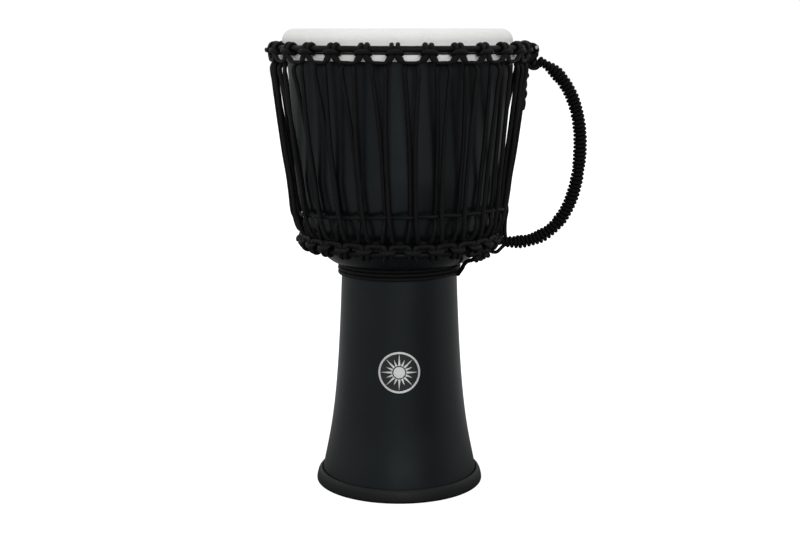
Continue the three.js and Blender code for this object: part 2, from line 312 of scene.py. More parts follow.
def floor_material():
    """White to the camera. To the drum it has painted shade: dim close by and in front to the right."""
    material, tree, shader, place = new_material("floor_white")
    cloud = noise(tree, place, 3.0, 3.0)
    # Painted shade: dark colour close to the drum and at a patch in front to the right, seen by the drum in
    # bounce light and reflections.
    away = node(tree, "VectorMath", {0: place, 1: (0.62, -0.70, 0)}, operation="DISTANCE").outputs["Value"]
    near = node(tree, "VectorMath", {0: place}, operation="LENGTH").outputs["Value"]
    pale = maths(tree, "MULTIPLY", spread(tree, away, 0.22, 0.62, 0.0, 1.0),
                 spread(tree, near, 0.1, 0.5, 0.2, 0.95))
    pale = maths(tree, "ADD", pale, maths(tree, "MULTIPLY", cloud, 0.05))
    tree.links.new(tint(tree, pale, (0.03, 0.03, 0.03), (0.38, 0.38, 0.38)), shader.inputs["Base Color"])
    shader.inputs["Roughness"].default_value = 0.9
    shader.inputs["Specular IOR Level"].default_value = 0.0
    shader.inputs["Emission Color"].default_value = (1, 1, 1, 1)
    seen = node(tree, "LightPath").outputs["Is Camera Ray"]
    tree.links.new(seen, shader.inputs["Emission Strength"])
    return material


SHELL = shell_material()
RUBBER = rubber_material()
FILM_PALE = film_material()
HOOP = hoop_material()
SLEEVE = sleeve_material()
ROPE = rope_material("rope_black", (0.0008, 0.0009, 0.0008), (0.0040, 0.0042, 0.0038), 0.60, 0.15)
HANDLE_ROPE = rope_material("handle_rope_black", (0.0005, 0.0005, 0.0004), (0.0025, 0.0025, 0.0021),
                            0.74, 0.13)
CUT_END = cut_material()
SILVER = metal_material()
ENAMEL = enamel_material()

# ---- mesh helpers


def placed(points):
    """Millimetres from the drum's axis to metres in the row frame."""
    return (np.asarray(points, float) + AXIS) * MM


def around(azimuth, radius, z):
    """A point at an azimuth that starts at the front and turns towards the handle."""
    return np.array([radius * math.sin(azimuth), -radius * math.cos(azimuth), z])


def add_piece(name, vertices, faces, materials, uvs=None, chosen=None, sharp=32.0):
    """A mesh object from millimetre vertices. chosen gives each face's material, uvs one pair a corner."""
    mesh = bpy.data.meshes.new(name)
    mesh.from_pydata(placed(vertices).tolist(), [], faces)
    for material in materials:
        mesh.materials.append(material)
    if uvs is not None:
        layer = mesh.uv_layers.new(name="UVMap")
        layer.data.foreach_set("uv", np.asarray(uvs, np.float32).ravel())
    if chosen is not None:
        mesh.polygons.foreach_set("material_index", np.asarray(chosen, np.int32))
    mesh.shade_smooth()
    mesh.set_sharp_from_angle(angle=math.radians(sharp))
    mesh.update()
    piece = bpy.data.objects.new(name, mesh)
    bpy.context.scene.collection.objects.link(piece)
    return piece


def bezier(a, b, c, d, count):
    t = np.linspace(0, 1, count + 1)[:, None]
    a, b, c, d = (np.array(p, float) for p in (a, b, c, d))
    return (1 - t) ** 3 * a + 3 * t * (1 - t) ** 2 * b + 3 * t * t * (1 - t) * c + t**3 * d


def bend(a, b, c, count):
    """A quadratic curve from a to c that heads for b."""
    a, b, c = (np.array(p, float) for p in (a, b, c))
    return bezier(a, a + (b - a) * 2 / 3, c + (b - c) * 2 / 3, c, count)


def arc(centre, radius, start, end, count):
    a = np.radians(np.linspace(start, end, count + 1))
    return np.column_stack([centre[0] + radius * np.cos(a), centre[1] + radius * np.sin(a)])


def outline(*parts):
    """Joins stretches of an outline and drops points that fall on the one before."""
    points = np.vstack([np.atleast_2d(np.asarray(p, float)) for p in parts])
    keep = np.ones(len(points), bool)
    keep[1:] = np.linalg.norm(np.diff(points, axis=0), axis=1) > 1e-3
    return points[keep]


def rounded(corners, radius):
    """A closed outline whose corners are rounded."""
    corners = np.asarray(corners, float)
    points = []
    for before, corner, after in zip(np.roll(corners, 1, 0), corners, np.roll(corners, -1, 0)):
        ends = []
        reach = min(radius, *(0.45 * np.linalg.norm(side) for side in (before - corner, after - corner)))
        for side in (before - corner, after - corner):
            ends.append(corner + side / np.linalg.norm(side) * reach)
        points.append(bend(ends[0], corner, ends[1], 4))
    return outline(*points)


def turned(name, profile, sides, material, sharp=32.0):
    """A solid of revolution from a closed profile of (radius, height), or one that ends on the axis."""
    profile = np.asarray(profile, float)
    area = np.sum(profile[:, 0] * np.roll(profile[:, 1], -1) - np.roll(profile[:, 0], -1) * profile[:, 1])
    if area < 0:
        profile = profile[::-1]
    vertices, rings = [], []
    for radius, z in profile:
        if radius < 1e-6:
            rings.append([len(vertices)] * sides)
            vertices.append((0, 0, z))
            continue
        rings.append(list(range(len(vertices), len(vertices) + sides)))
        vertices += [around(2 * math.pi * i / sides, radius, z) for i in range(sides)]
    faces = []
    for i, ring in enumerate(rings):
        above = rings[(i + 1) % len(rings)]
        if ring[0] == ring[1] and above[0] == above[1]:
            continue
        for j in range(sides):
            k = (j + 1) % sides
            corners = [ring[j], ring[k], above[k], above[j]]
            faces.append(list(dict.fromkeys(corners)))
    return add_piece(name, vertices, faces, [material], sharp=sharp)


# ---- rope helpers
# A rope's knots are rows of eight numbers: a point, the way that it faces, its width across that way
# and its thickness along it.


def knot(point, facing, width=STRAND, thick=STRAND):
    return np.array([*point, *facing, width, thick], float)


def knot_at(azimuth, radius, z, width=STRAND, thick=STRAND, side=1):
    """A knot that faces away from the drum's axis, or towards it at a side of -1."""
    return knot(around(azimuth, radius, z), around(azimuth, side, 0), width, thick)


def smooth(knots, step, closed=False):
    """A smooth route through the knots, with a row about every step."""
    knots = np.asarray(knots, float)
    if closed:
        rows = np.vstack([knots[-1:], knots, knots[:2]])
    else:
        rows = np.vstack([2 * knots[0] - knots[1], knots, 2 * knots[-1] - knots[-2]])
    length = np.linalg.norm(np.diff(rows[:, :3], axis=0), axis=1)
    gap = np.sqrt(np.maximum(length, 1e-4))[:, None]
    slope = np.diff(rows, axis=0) / gap
    tangent = (slope[:-1] * gap[1:] + slope[1:] * gap[:-1]) / (gap[1:] + gap[:-1])
    route = []
    for j in range(len(rows) - 3):
        count = max(1, math.ceil(length[j + 1] / step))
        t = (np.arange(count) / count)[:, None]
        a, b, h = rows[j + 1], rows[j + 2], gap[j + 1]
        route.append((2 * t**3 - 3 * t**2 + 1) * a + (t**3 - 2 * t**2 + t) * h * tangent[j]
                     + (3 * t**2 - 2 * t**3) * b + (t**3 - t**2) * h * tangent[j + 1])
    if not closed:
        route.append(knots[-1:])
    return np.vstack(route)


def unit(vectors):
    return vectors / np.linalg.norm(vectors, axis=1, keepdims=True)


def rope_mesh(rows, sides, closed):
    """Vertices, faces and corner UVs of a rope along its rows. V runs in rope diameters."""
    centre = rows[:, :3]
    if closed:
        tangent = unit(np.roll(centre, -1, 0) - np.roll(centre, 1, 0))
    else:
        tangent = unit(np.gradient(centre, axis=0))
    facing = rows[:, 3:6] - np.sum(rows[:, 3:6] * tangent, 1)[:, None] * tangent
    facing = unit(facing)
    across = np.cross(tangent, facing)
    angle = 2 * np.pi * np.arange(sides) / sides
    rings = (centre[:, None]
             + np.cos(angle)[None, :, None] * facing[:, None] * rows[:, 7, None, None] / 2
             + np.sin(angle)[None, :, None] * across[:, None] * rows[:, 6, None, None] / 2)
    step = np.linalg.norm(np.diff(centre, axis=0, append=centre[:1]), axis=1)
    along = np.concatenate([[0], np.cumsum(step)]) / STRAND
    count = len(rows) if closed else len(rows) - 1
    faces, uvs = [], []
    for i in range(count):
        here, there = i * sides, (i + 1) % len(rows) * sides
        for j in range(sides):
            k = (j + 1) % sides
            faces.append((here + j, here + k, there + k, there + j))
            left, right = j / sides, (j + 1) / sides
            uvs += [(left, along[i]), (right, along[i]), (right, along[i + 1]), (left, along[i + 1])]
    if not closed:
        for ring, order in ((0, -1), (len(rows) - 1, 1)):
            faces.append(tuple(ring * sides + j for j in range(sides))[::order])
            uvs += [(j / sides, along[ring]) for j in range(sides)][::order]
    return rings.reshape(-1, 3), faces, uvs


def domed(rows, reach=1.2):
    """Rounds a rope's two ends, as a melted end is."""
    rows = rows.copy()
    for order in (1, -1):
        ends = rows[::order]
        run = np.concatenate([[0], np.cumsum(np.linalg.norm(np.diff(ends[:, :3], axis=0), axis=1))])
        share = np.clip(run / reach, 0.0, 1.0)
        scale = np.sqrt(np.clip(1 - (1 - share) ** 2, 0.04, 1))
        ends[:, 6:8] *= scale[:, None]
    return rows


def rope(name, knots, material, step, sides=12, closed=False):
    """One rope as an object. An open one gets rounded ends."""
    rows = smooth(knots, step, closed)
    if not closed:
        rows = domed(rows)
    vertices, faces, uvs = rope_mesh(rows, sides, closed)
    return add_piece(name, vertices, faces, [material], uvs=uvs, sharp=70.0)


def open_part(knots, step, sides):
    """A rope with two rounded ends, as a part for joined()."""
    return (*rope_mesh(domed(smooth(knots, step)), sides, False), 0)


def overhand(centre, size, tall, turn):
    """A tight overhand knot: a rope that runs round itself as a trefoil does."""
    points = []
    for i in range(30):
        t = 2 * math.pi * i / 30
        reach = 1.72 + math.cos(3 * t)
        flat = np.array([reach * math.cos(2 * t), math.sin(3 * t) * 1.15, reach * math.sin(2 * t) * tall])
        x = flat[0] * math.cos(turn) - flat[1] * math.sin(turn)
        y = flat[0] * math.sin(turn) + flat[1] * math.cos(turn)
        points.append(np.array(centre) + size * np.array([x, y, flat[2]]))
    return points


def knot_part(shape, thick, step, sides):
    """An overhand knot in rope of one thickness, as a part for joined()."""
    points = overhand(**shape)
    facing = np.array(points) - np.array(shape["centre"])
    knots = [knot(point, away, thick, thick) for point, away in zip(points, facing)]
    return (*rope_mesh(smooth(knots, step, True), sides, True), 0)


def no_uvs(faces):
    return [(0.0, 0.0)] * sum(len(face) for face in faces)


def joined(name, parts, materials, sharp=70.0):
    """One object from several (vertices, faces, uvs, material number) sets."""
    vertices, faces, uvs, chosen, base = [], [], [], [], 0
    for points, corners, pairs, which in parts:
        vertices.append(np.asarray(points, float))
        faces += [tuple(base + c for c in face) for face in corners]
        uvs += list(pairs)
        chosen += [which] * len(corners)
        base += len(points)
    return add_piece(name, np.vstack(vertices), faces, materials, uvs=uvs, chosen=chosen, sharp=sharp)


# ---- shell and foot


def shell_outside(fine):
    """The shell's outer outline from the foot to the shoulder, in fine steps a stretch."""
    stem = bezier((FOOT_R, FOOT_Z), (78.5, 58.1), (69.2, 70.1), (WAIST_R, WAIST_Z), 4 * fine)
    neck = bend((WAIST_R, WAIST_Z), (WAIST_R, WAIST_Z + 4.5), (NECK_R, NECK_Z), fine)
    bowl = bezier((NECK_R, NECK_Z), (87, 258.4), (111.5, 298), (BELLY_R, BELLY_Z), 3 * fine)
    side = bend((BELLY_R, BELLY_Z), (115.8, 410), (SHOULDER_R, SHOULDER_Z), 2 * fine)
    return outline(stem, neck, bowl, side)


def offset(points, distance):
    """The outline moved outwards, square to its own run."""
    along = np.gradient(points, axis=0)
    along /= np.linalg.norm(along, axis=1, keepdims=True)
    return points + np.column_stack([along[:, 1], -along[:, 0]]) * distance


def stem_radius(z):
    outside = shell_outside(12)
    stem = outside[outside[:, 1] <= WAIST_Z]
    return np.interp(z, stem[:, 1], stem[:, 0])


def make_shell():
    outside = shell_outside(12)
    bend_radius = HEAD_ROUND - FILM
    top = HEAD_TOP - FILM - 0.3
    lip = RIM_R - bend_radius
    rim = outline((RIM_R, SHOULDER_Z + 16), (RIM_R, top - bend_radius),
                  arc((lip, top - bend_radius), bend_radius, 0, 90, 10),
                  arc((lip, top - 1), 1, 90, 180, 4), (lip - 1, top - 10))
    inside = offset(shell_outside(8), -WALL)[::-1]
    inside[-1, 1] = FOOT_Z
    shell = turned("djembe_shell", outline(outside, rim, inside), ROUND_SIDES, SHELL)
    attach(shell, "root")
    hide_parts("shell")


FOOT_BORE = 81  # inner radius of the rubber ring


def make_foot():
    """A rubber ring whose rounded outside leans in to a lip against the stem."""
    edge = FOOT_RING_RADIUS
    top = FOOT_RING_TOP - 3.0
    profile = outline((FOOT_BORE, 0.6), (FOOT_BORE + 0.6, 0), (edge - 2.4, 0),
                      bend((edge - 2.4, 0), (edge, 0), (edge, 2.4), 6),
                      bend((edge, 2.4), (edge - 0.3, 6), (edge - 1.6, 10), 6),
                      bend((edge - 1.6, 10), (edge - 2.9, top - 1.0), (edge - 4.9, top), 8),
                      bend((edge - 4.9, top), (edge - 6.0, top + 0.2), (edge - 6.6, top - 1.5), 5),
                      (FOOT_R + 0.5, FOOT_Z - 0.3), (FOOT_BORE, FOOT_Z - 0.3))
    foot = turned("foot_ring_rubber", profile, ROUND_SIDES, RUBBER)
    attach(foot, "root")
    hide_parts("foot_ring")


# ---- head and rings


HOOP_Z = (HOOP_BOTTOM + 0.5, HOOP_BOTTOM + 7.3)
CROWN_OF_HEAD = HEAD_RADIUS - 3.6  # the drum's rim draws the head in above its hoop
HEAD_SLIP = 1.8  # how far the head's crown sits off the ring's middle
SLIP_RISE = 8  # the height over which the slip grows


def make_head():
    inner = HEAD_RADIUS - FILM
    round_inside = HEAD_ROUND - FILM
    centre = (CROWN_OF_HEAD - HEAD_ROUND, HEAD_TOP - HEAD_ROUND)
    flare = (HOOP_Z[1] - 1, HOOP_Z[1] + 7)
    profile = outline((0, HEAD_TOP - FILM), (centre[0] * 0.5, HEAD_TOP - FILM),
                      arc(centre, round_inside, 90, 0, 14), (CROWN_OF_HEAD - FILM, flare[1]),
                      (inner, flare[0]), (inner, HOOP_BOTTOM + 1),
                      (HEAD_RADIUS, HOOP_BOTTOM + 1), (HEAD_RADIUS, flare[0]), (CROWN_OF_HEAD, flare[1]),
                      arc(centre, HEAD_ROUND, 0, 90, 18), (centre[0] * 0.5, HEAD_TOP), (0, HEAD_TOP))
    head = turned("drum_head_film", profile, ROUND_SIDES, FILM_PALE)
    for vertex in head.data.vertices:
        vertex.co.x -= HEAD_SLIP * MM * min(max((vertex.co.z / MM - HOOP_Z[1]) / SLIP_RISE, 0), 1)
    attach(head, "head_assembly")
    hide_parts("drum_head")


def upright(inner, outer, low, high):
    """The corners of an upright section."""
    return [(inner, low), (outer, low), (outer, high), (inner, high)]


def make_hoop():
    """The pale hoop, and a dark band with painted shade where the film comes out of it."""
    inner = HEAD_RADIUS + 0.2
    low, high = HOOP_Z
    hoop = turned("flesh_hoop_white", rounded(upright(inner, HOOP_RADIUS + 0.1, low, high), 1.1),
                  ROUND_SIDES, HOOP)
    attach(hoop, "head_assembly")
    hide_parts("flesh_hoop")
    # Painted shade: a thin band in the foot's dark rubber, put in the shadow gap between the film's collar
    # and the hoop.
    shadow_gap_band = turned("hoop_shadow_gap_band", rounded(upright(inner, inner + 3.2, high + 0.1, high + 1.6), 0.35),
                  ROUND_SIDES, RUBBER)
    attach(shadow_gap_band, "head_assembly")


def make_ring(name, cad, body, radius, z):
    profile = arc((radius, z), RING_TUBE, 0, 360, 20)[:-1]
    ring = turned(name, profile, RING_SIDES, SLEEVE, sharp=60)
    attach(ring, body)
    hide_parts(cad)


# ---- the hitched ropes round the rings
# Half a hitch as [sideways, outwards, upwards, facing outwards, facing upwards, width, thickness] from
# the ring's centre line: from the level stretch up behind the bar, over the ring, down behind it, out
# under it to the bar's end and across the front. The bottom ring's hitches are the same upside down.
#
# Of each ring: bar and bulk are the height and width of a hitch's bar, legs and wide the places and
# width of its legs, and stretch, out and high the height, reach and width of the stretch between two.

HITCH_W, HITCH_T = 4.5, 3.3
REACH = RING_TUBE + HITCH_T / 2 + 0.15

TOP_CRADLE = {
    "radius": CROWN_RADIUS, "z": CROWN_Z, "up": 1, "bar": -2.3, "bulk": 4.9,
    "legs": [(9.2, -12.7), (5.9, -10.2), (3.3, -7.2)], "wide": 6.9,
    "stretch": -13.2, "out": 3.2, "high": 3.7}
BOTTOM_CRADLE = {
    "radius": BOTTOM_RADIUS, "z": BOTTOM_Z, "up": -1, "bar": -3.5, "bulk": 5.6,
    "legs": [(7.0, -9.4), (4.2, -8.6), (3.2, -6.2)], "wide": 6.2,
    "stretch": -9.4, "out": 3.7, "high": 5.6}


def round_ring(degrees, sideways):
    """A row at an angle round the ring's section, from its outside up and over."""
    a = math.radians(degrees)
    out, up = math.cos(a), math.sin(a)
    return [sideways, REACH * out, REACH * up, out, up, HITCH_W, HITCH_T]


def half_hitch(ring):
    rows = []
    first, second, third = ring["legs"]
    rows.append([first[0], ring["out"], first[1], 1, 0, ring["high"], 4.2])
    rows.append([second[0], ring["out"] + 0.9, second[1], 1, 0, ring["wide"], 3.8])
    rows.append([third[0], REACH - 0.3, third[1], 1, -0.1, ring["wide"], HITCH_T])
    rows.append(round_ring(-18, 2.9))
    rows += [round_ring(degrees, 3.1) for degrees in (18, 54, 90, 126, 162, 198)]
    rows += [round_ring(234, 3.9), round_ring(268, 6.0)]
    rows.append([7.5, 4.2, ring["bar"] - 2.4, 0.75, -0.66, 3.8, HITCH_T])
    rows.append([6.2, 7.2, ring["bar"] - 0.8, 0.95, -0.3, ring["bulk"] - 0.7, 3.1])
    rows.append([2.6, 8.5, ring["bar"], 1, -0.1, ring["bulk"], 3.1])
    return np.array(rows)


# Degrees by which single top hitches stand off their even places: the tie crowds those before it.
TOP_NUDGE = {26: 0.4, 0: -0.45, 1: -0.1, 2: -0.7, 3: -1.1, 4: -1.5, 5: -1.7, 6: -0.8}


def top_azimuth(k):
    regular = FIRST_TOP + k * PITCH
    nudge = math.radians(TOP_NUDGE.get(k % HITCHES, 0))
    return regular + TOP_SLIP * math.sin(2 * regular) + nudge


def bottom_azimuth(k):
    return FIRST_BOTTOM + k * PITCH


def cradle(ring, azimuth_of):
    """One closed rope: a hitch at each azimuth, each a little out of place, and a stretch after it."""
    half = half_hitch(ring)
    left = half * [-1, 1, 1, 1, 1, 1, 1]
    knots = []
    for k in range(HITCHES):
        middle = azimuth_of(k) + RANDOM.normal(0, 0.0015)
        lean = RANDOM.normal(0, 0.05)
        outward = around(middle, 1, 0)
        sideways = around(middle + math.pi / 2, 1, 0)
        for s, n, v, face_out, face_up, width, thick in [*left, *half[::-1]]:
            v = v + lean * s
            point = around(middle, ring["radius"], ring["z"] + ring["up"] * v) + outward * n + sideways * s
            facing = outward * face_out + np.array([0, 0, ring["up"] * face_up])
            knots.append(knot(point, facing, width, thick))
        here = azimuth_of(k) / 2 + azimuth_of(k + 1) / 2
        far = ring["radius"] + ring["out"]
        knots.append(knot_at(here, far, ring["z"] + ring["up"] * ring["stretch"], ring["high"], 4.2))
    return knots


def make_cradle(name, cad, body, ring, azimuth_of):
    piece = rope(name, cradle(ring, azimuth_of), ROPE, step=1.0, sides=14, closed=True)
    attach(piece, body)
    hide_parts(cad)


# ---- lacing and weave

TOP_RUN = (CROWN_RADIUS - 0.8, CROWN_Z - 14.6)  # radius and height of the turns at the top
BOTTOM_RUN = (BOTTOM_RADIUS - 0.2, BOTTOM_Z + 12.4)

# A strand's half distance from its pair's middle, and its radius outside and inside, by height.
HEIGHTS = (463.6, 447, 421, 395, 370, 345, 328)
SIDE = (6.8, 5.9, 4.4, 3.0, 2.5, 2.4, 2.3)
OUTSIDE = (137.4, 135.6, 132.6, 129.3, 125.9, 121.8, 119.8)
INSIDE = (137.0, 134.4, 129.8, 125.4, 121.2, 117.6, 115.6)
SWAY_FROM = 310  # the height below which a strand lies over its bottom hitch
FOOT_TURN = [(3.5, 115.4, 16.5), (4.6, 113.4, 9.0), (5.5, 110.2, 2.6)]  # sideways, radius, above the run
PAIR_NUDGE = {3: 0.5, 4: -4.4, 5: -4.3, 6: -1.0}  # degrees that pairs by the handle are off at the top

WEAVE_SIDE = 2.5  # a strand's half distance where the weave crosses it
WEAVE_INSIDE, WEAVE_OUTSIDE = 112.4, 117.4  # radius of the strands there
WEAVE_OFF = 4.3  # from a strand's middle line to the weave's
WEAVE_KNOT = 3.0  # the half distance between the weave's two crossings of a pair
WEAVE_Z = 308.35
WEAVE_TILT = (5.15, 2.65)  # how much the weave's row is high in front, and by the handle


def weave_height(azimuth):
    front, side = WEAVE_TILT
    return WEAVE_Z + front * math.cos(azimuth) + side * math.sin(azimuth)


def between(k, share):
    """The azimuth of pair k, between two top hitches at a share of 1 and at a bottom one at 0."""
    top = (top_azimuth(k) + top_azimuth(k + 1)) / 2 + math.radians(PAIR_NUDGE.get(k, 0))
    return top * share + bottom_azimuth(k + 1) * (1 - share)


def strand(k, side, radii, weave_radius):
    """One strand from its top turn down to its foot. side is -1 for the left one, 1 for the right."""
    knots = []
    wander = RANDOM.normal(0, 0.35)
    for z, apart, radius in zip(HEIGHTS, SIDE, radii):
        share = (z - SWAY_FROM) / (HEIGHTS[0] - SWAY_FROM)
        azimuth = between(k, share) + (side * apart + wander * math.sin(math.pi * share)) / radius
        knots.append(knot_at(azimuth, radius, z, side=side))
    azimuth = between(k, 0) + side * WEAVE_SIDE / weave_radius
    knots.append(knot_at(azimuth, weave_radius, weave_height(azimuth), side=side))
    for apart, radius, rise in FOOT_TURN:
        if side < 0:
            radius -= 1.2
        azimuth = between(k, 0) + side * apart / radius
        knots.append(knot_at(azimuth, radius, BOTTOM_RUN[1] + rise, side=side))
    return knots


def run(azimuth, place, up):
    """The short level run behind a stretch, from one strand to the next."""
    radius, z = place
    return [knot(around(azimuth + sideways / radius, radius, z), (0, 0, up), 3.4, STRAND)
            for sideways in (-4.0, 0.0, 4.0)]


def lacing():
    """One closed rope: up each left strand, down the right one, and along to the next pair."""
    knots = []
    for k in range(HITCHES):
        left = strand(k, -1, INSIDE, WEAVE_INSIDE)[::-1]
        right = strand(k, 1, OUTSIDE, WEAVE_OUTSIDE)
        knots += left + run(between(k, 1), TOP_RUN, 1) + right
        foot = (between(k, 0) + between(k + 1, 0)) / 2
        knots += run(foot, BOTTOM_RUN, -1)
    return knots


def make_lacing():
    piece = rope("lacing_rope_strands", lacing(), ROPE, step=1.8, sides=12, closed=True)
    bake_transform(piece)
    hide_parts("lacing_rope")


def weave():
    """One closed rope that passes outside each left strand and inside each right one."""
    knots = []
    for k in range(HITCHES):
        pair = between(k, 0)
        z = weave_height(pair)
        for side, radius in ((-1, WEAVE_INSIDE + WEAVE_OFF), (1, WEAVE_OUTSIDE - WEAVE_OFF)):
            azimuth = pair + side * WEAVE_KNOT / radius
            knots.append(knot_at(azimuth, radius, z + RANDOM.normal(0, 0.25), 4.2, 3.8))
    return knots


def make_weave():
    piece = rope("weave_rope_row", weave(), ROPE, step=1.2, sides=12, closed=True)
    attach(piece, "root")
    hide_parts("weave_rope")


# ---- waist winding

WINDING = {"turns": 2.93, "pitch": 4.4, "z": 236.9, "start": 82.0}
STEPS_A_TURN = 28
# The lead's knots as azimuth in degrees, radius and height, from the bottom ring to the waist.
LEAD = [(40, 114.5, 272), (44, 113, 268.6), (47.6, 109, 265), (51, 99.5, 261.2), (55.4, 88.6, 257.6),
        (60.2, 80.8, 252.8), (65.4, 75.0, 246.4), (70.5, 69.4, 240.6), (75.5, 66.6, 237.8)]
# The two small hitches on the bottom ring from which the lead comes down.
LEAD_KNOTS = [{"centre": (82.8, -79, 266.9), "size": 1.9, "tall": 0.8, "turn": 0.7},
              {"centre": (90.9, -74, 269.3), "size": 1.8, "tall": 0.8, "turn": 0.9}]


def winding():
    """Down from a bottom hitch over the upper turns to the lowest, and up again turn by turn."""
    knots = [knot_at(math.radians(degrees), radius, z) for degrees, radius, z in LEAD]
    count = round(WINDING["turns"] * STEPS_A_TURN)
    for i in range(count + 1):
        turn = i / STEPS_A_TURN
        azimuth = math.radians(WINDING["start"]) + turn * 2 * math.pi
        z = WINDING["z"] + turn * WINDING["pitch"]
        radius = WAIST_R + 2.45 + 0.12 * math.sin(5 * azimuth + turn)
        knots.append(knot_at(azimuth, radius, z, 4.4, 4.3))
    return knots


def make_winding():
    parts = [open_part(winding(), 1.4, 12)]
    parts += [knot_part(shape, 3.9, 0.9, 12) for shape in LEAD_KNOTS]
    piece = joined("waist_winding_rope", parts, [ROPE])
    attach(piece, "root")
    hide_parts("waist_winding")


# ---- handle

HANDLE_START = np.array([150.4, 0, 469.2])  # where the first turns of the wrap lie
HANDLE_TOP = np.array([157, 0, 466.5])
HANDLE_OUT = np.array([197.9, 0, 378])
HANDLE_BOTTOM = np.array([126, 0, 270.9])
HANDLE_END = np.array([113.8, 0, 271.2])  # where the last turns reach
HANDLE_TURNS = 60
TURN_STEPS = 22
BAR_R = 2.6
WRAP = {"width": 4.15, "thick": 4.9, "radius": 5.1}
# How much slimmer the wrap is, by the number of turns from its top end and from its bottom end.
SLIM_TOP = ((0, 0.9, 1.8, 5), (1.4, 1.4, 2.7, 0))
SLIM_BOTTOM = ((0, 4), (2.3, 0))


def handle_path(count):
    """Points at even steps along the handle's middle line."""
    upper = bezier(HANDLE_TOP, (186, 0, 450), (HANDLE_OUT[0], 0, 414), HANDLE_OUT, 200)
    lower = bezier(HANDLE_OUT, (HANDLE_OUT[0], 0, 322), (180, 0, HANDLE_BOTTOM[2]), HANDLE_BOTTOM, 200)
    fine = np.vstack([HANDLE_START, upper, lower[1:], HANDLE_END])
    run_length = np.concatenate([[0], np.cumsum(np.linalg.norm(np.diff(fine, axis=0), axis=1))])
    even = np.linspace(0, run_length[-1], count)
    return np.column_stack([np.interp(even, run_length, fine[:, i]) for i in range(3)])


def handle_wrap():
    """The wrap's helix round the bar, with turns that lie a little unevenly."""
    count = HANDLE_TURNS * TURN_STEPS + 1
    middle = handle_path(count)
    tangent = unit(np.gradient(middle, axis=0))
    sideways = np.array([0.0, 1.0, 0.0])
    normal = np.cross(sideways, tangent)
    slack = RANDOM.normal(0, 1, HANDLE_TURNS + 2)
    knots = []
    for i in range(count):
        turn = i / TURN_STEPS
        a = 2 * math.pi * turn
        loose = np.interp(turn, range(len(slack)), slack)
        slim = np.interp(turn, *SLIM_TOP) + np.interp(HANDLE_TURNS - turn, *SLIM_BOTTOM)
        radius = WRAP["radius"] - slim + 0.2 * loose
        facing = normal[i] * math.cos(a) + sideways * math.sin(a)
        point = middle[i] + facing * radius + tangent[i] * 0.12 * loose
        knots.append(knot(point, facing, WRAP["width"], WRAP["thick"]))
    return np.array(knots)


def make_handle():
    vertices, faces, uvs = rope_mesh(domed(handle_wrap(), 3.0), 12, False)
    wrap = add_piece("handle_winding", vertices, faces, [HANDLE_ROPE], uvs=uvs, sharp=70)
    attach(wrap, "handle")
    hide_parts("handle_wrap")
    path = handle_path(60)
    bar_knots = [knot(p, (0, 1, 0), 2 * BAR_R, 2 * BAR_R) for p in path[:-1]]
    bar = rope("handle_bar", bar_knots, HANDLE_ROPE, step=6, sides=16)
    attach(bar, "handle")
    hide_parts("handle_core")


# ---- ties and tail


SLANT = (0.31, 0.17, 0.93)  # a direction that no tie runs along


def by_hand(points, width, thick):
    """Knots through the given points, facing square to the run and to SLANT, without twists."""
    points = np.asarray(points, float)
    knots = []
    for i, point in enumerate(points):
        along = points[min(i + 1, len(points) - 1)] - points[max(i - 1, 0)]
        knots.append(knot(point, np.cross(along, SLANT), width, thick))
    knots = np.array(knots)
    for i in range(1, len(knots)):
        if knots[i, 3:6] @ knots[i - 1, 3:6] < 0:
            knots[i, 3:6] *= -1
    return knots


TIE_STEP = 0.8
# The top tie goes twice round the crown ring to a knot outside it, sags to a second knot at the
# handle's end with a run beside it, comes along the ring from the front, and ends cut short.
TIE_LOOPS = [
    (144, 3, 477), (140, 4.5, 476.6), (135.2, 5, 478), (130.4, 5, 481), (129.8, 4.4, 486),
    (134.5, 4, 489.2), (140, 3, 487.6), (143, 0.5, 483), (141.5, -2.6, 478.5), (136, -4, 477.4),
    (131, -4, 480.2),
    (129.8, -3.8, 485.4), (134, -3.6, 489.4), (139.0, -3.6, 488.4), (143.5, -3.4, 484.5), (145, -2, 480)]
TIE_DROP = [
    (140.5, 0.5, 478.6), (137.4, -4.2, 475), (137.0, -5.2, 470), (139.2, -5.0, 464.8), (143.4, -4.4, 461.8),
    (148.0, -3.4, 461.8), (151.6, -2, 464.8), (153.0, 0.8, 468.6)]
TIE_END = [(142.0, 3, 480.5), (144.6, 0.5, 483.0), (146.6, -3.2, 484.0), (148.0, -6.8, 484.0)]
TIE_SIDE = [
    (139, -3.2, 486), (143.6, -3.6, 487.0), (148, -3.0, 484.6), (149.2, -2.4, 480.4), (147.0, -2.2, 476.6),
    (144.8, -1.6, 472.4), (144.0, 0, 468)]
TIE_COLLAR = [
    (131.0, -28, 478.0), (134.4, -25.5, 475.8), (137.4, -21, 474.6), (139.6, -14, 474.2),
    (140.6, -7, 474.6), (141.6, -1, 476.4)]
UPPER_KNOT = {"centre": (142.6, -0.9, 478.6), "size": 2.6, "tall": 1.15, "turn": 0.5}
LOWER_KNOT = {"centre": (144.4, -0.4, 467.4), "size": 2.3, "tall": 0.95, "turn": 1.3}
# The bottom tie: an eye through the bottom ring, and a stay up and down beside the lacing.
BOTTOM_TIE = [
    (120, -1.6, 270.4), (115.4, -2.2, 267.2), (111.8, -2.2, 263.6), (108.4, -2, 260.4), (104, -1.6, 259.9),
    (100.6, -1, 261.4), (98.2, -0.4, 265.4), (99.0, 0.6, 268.6), (101.6, 1.2, 268.6), (103.8, 1.8, 271.8),
    (107.2, 2.0, 275.2), (112.6, 1.8, 275.4), (120, 0.8, 272.2)]
STAY = [
    (121, 2.2, 273), (117.9, 0.4, 275.6), (116.8, -0.6, 281), (116.6, -0.8, 289), (117.2, -0.6, 298),
    (118.6, -0.2, 306.5), (117.8, 0.8, 312), (115.6, 0.4, 308), (114.0, -0.2, 299), (113.0, -0.8, 289),
    (112.6, -1, 280), (112.2, -1.4, 274), (110.6, -2, 268)]


